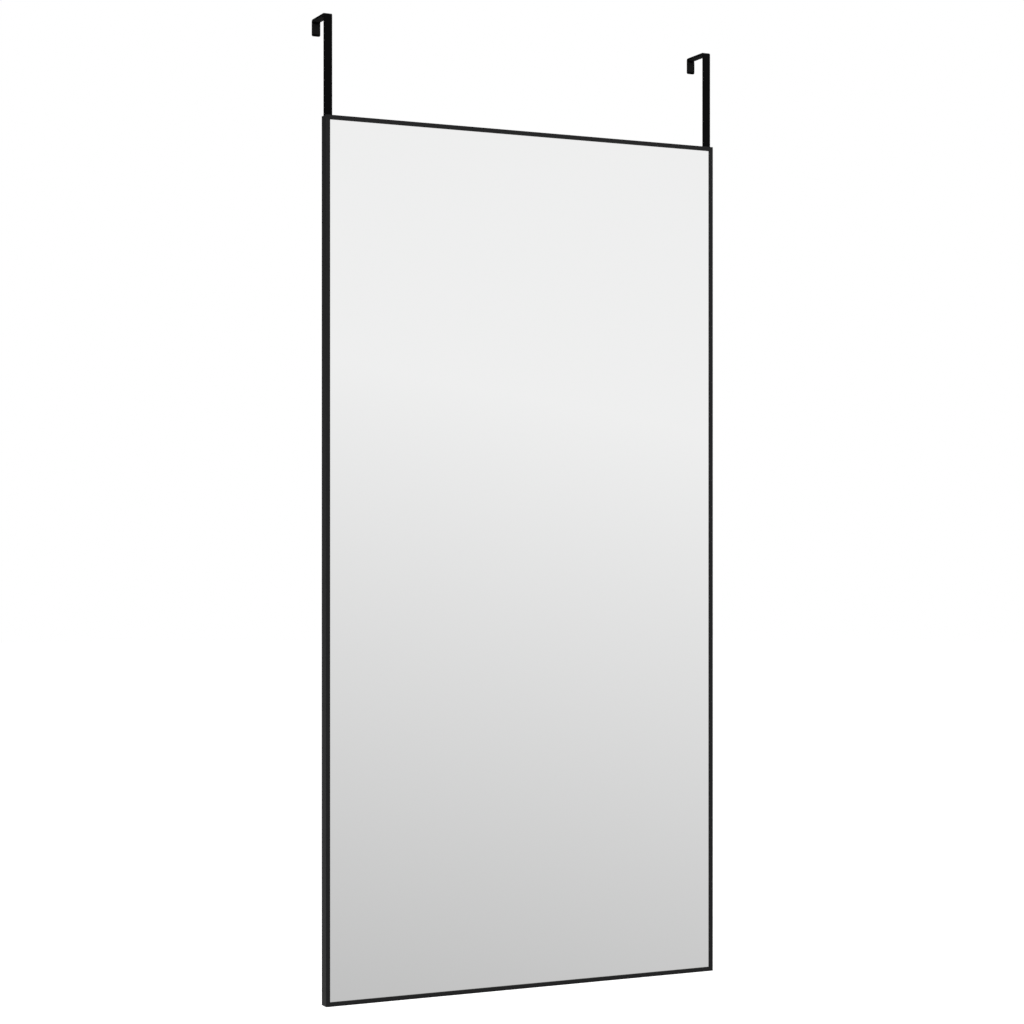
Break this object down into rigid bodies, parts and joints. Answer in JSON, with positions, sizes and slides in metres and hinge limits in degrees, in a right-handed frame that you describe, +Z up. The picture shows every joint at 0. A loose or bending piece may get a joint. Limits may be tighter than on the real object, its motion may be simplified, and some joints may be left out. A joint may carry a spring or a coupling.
{
  "type": "over the door mirror",
  "caption": "Tall rectangular mirror in a thin dark metal frame with two flat bar hooks that go over the top of a door",
  "frame": {"origin": "on the door's top edge, midway between the two hooks and midway through the door's thickness", "axes": "+Z up, +X to the right as seen from the front, +Y into the door; the mirror faces -Y"},
  "size_m": [0.6, 0.0563, 1.3385],
  "materials": {
    "frame_metal": "satin black anodised",
    "hook_steel": "satin black powder coat",
    "mirror_glass": "silvered, polished",
    "hardboard": "smooth brown hardboard",
    "foam_tape": "matt white foam",
    "zinc_steel": "zinc plated",
    "spring_steel": "blued strip",
    "felt": "pressed felt",
    "bumper_rubber": "matt"
  },
  "bodies": {
    "root": {"left_stile": "frame_metal", "right_stile": "frame_metal", "top_rail": "frame_metal", "bottom_rail": "frame_metal", "mirror_pane": "mirror_glass", "bonding_tapes": "foam_tape", "back_board": "hardboard", "retaining_springs": "spring_steel", "top_left_key": "zinc_steel", "top_right_key": "zinc_steel", "bottom_left_key": "zinc_steel", "bottom_right_key": "zinc_steel", "corner_screws": "zinc_steel", "hook_screws": "hook_steel", "left_hook": "hook_steel", "right_hook": "hook_steel", "left_seat_pad": "felt", "right_seat_pad": "felt", "left_back_pad": "felt", "right_back_pad": "felt", "top_left_bumper": "bumper_rubber", "top_right_bumper": "bumper_rubber", "bottom_left_bumper": "bumper_rubber", "bottom_right_bumper": "bumper_rubber"}
  },
  "joints": []
}
